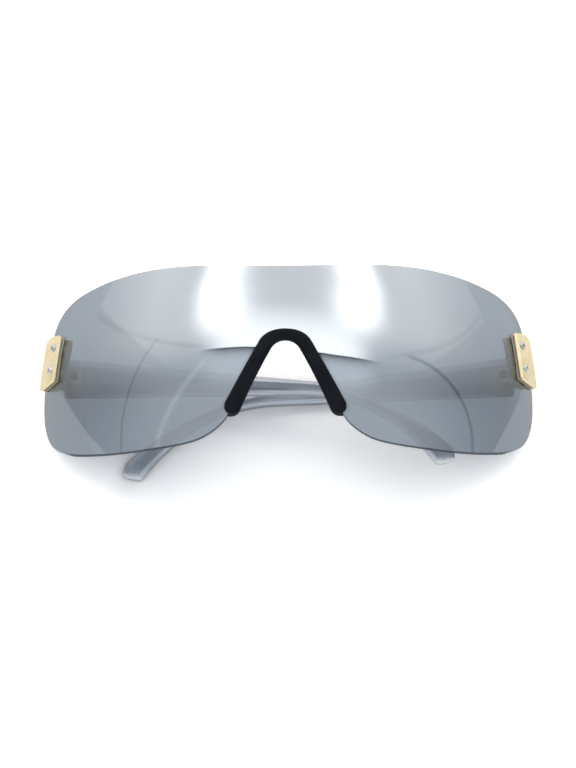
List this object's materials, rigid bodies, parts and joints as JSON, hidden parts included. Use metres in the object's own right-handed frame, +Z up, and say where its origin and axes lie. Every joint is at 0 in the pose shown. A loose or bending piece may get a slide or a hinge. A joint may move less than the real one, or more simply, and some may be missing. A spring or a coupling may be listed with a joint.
{
  "type": "shield sunglasses",
  "caption": "Rimless shield sunglasses with a curved silver mirror lens, dark rubber nose pad, pale gold side plates and folding pearl grey temples.",
  "frame": {"origin": "middle of the footprint, on the table plane that the folded left temple lies on", "axes": "+X along the lens, towards the wearer's left side; +Y towards the brow edge; +Z up, out of the lens's front face, so the sunglasses lie on their back"},
  "size_m": [0.1464, 0.0533, 0.0477],
  "materials": {
    "lens_polycarbonate": "grey tinted polycarbonate, half see-through, with a silver mirror coating on its outer face",
    "pad_rubber": "matt blue-black soft rubber",
    "plate_metal": "pale gold plating, polished",
    "bracket_metal": "pale gold plating, satin",
    "leaf_metal": "satin nickel-silver",
    "gasket_clear": "clear soft plastic film",
    "sleeve_grey": "matt grey plastic",
    "screw_steel": "polished steel",
    "screw_dark": "blackened steel",
    "temple_nylon": "silver-grey pearl lacquer, glossy"
  },
  "bodies": {
    "front": {"shield_lens": "lens_polycarbonate", "nose_pad": "pad_rubber", "right_outer_plate": "plate_metal", "right_plate_gasket": "gasket_clear", "right_plate_screws": "screw_steel", "right_lens_sleeves": "sleeve_grey", "right_hinge_bracket": "bracket_metal", "right_hinge_screw": "screw_steel", "left_outer_plate": "plate_metal", "left_plate_gasket": "gasket_clear", "left_plate_screws": "screw_steel", "left_lens_sleeves": "sleeve_grey", "left_hinge_bracket": "bracket_metal", "left_hinge_screw": "screw_steel"},
    "right_arm": {"right_temple": "temple_nylon", "right_temple_leaf": "leaf_metal", "right_leaf_screw": "screw_dark"},
    "left_arm": {"left_temple": "temple_nylon", "left_temple_leaf": "leaf_metal", "left_leaf_screw": "screw_dark"}
  },
  "joints": [
    {"name": "right_temple_fold", "type": "hinge", "parent": "front", "child": "right_arm", "pos_m": [-0.06735, 0.00583, 0.0052], "axis": [0, 1, 0], "range_deg": [0, 97]},
    {"name": "left_temple_fold", "type": "hinge", "parent": "front", "child": "left_arm", "pos_m": [0.06735, 0.00583, 0.0052], "axis": [0, -1, 0], "range_deg": [0, 90]}
  ]
}
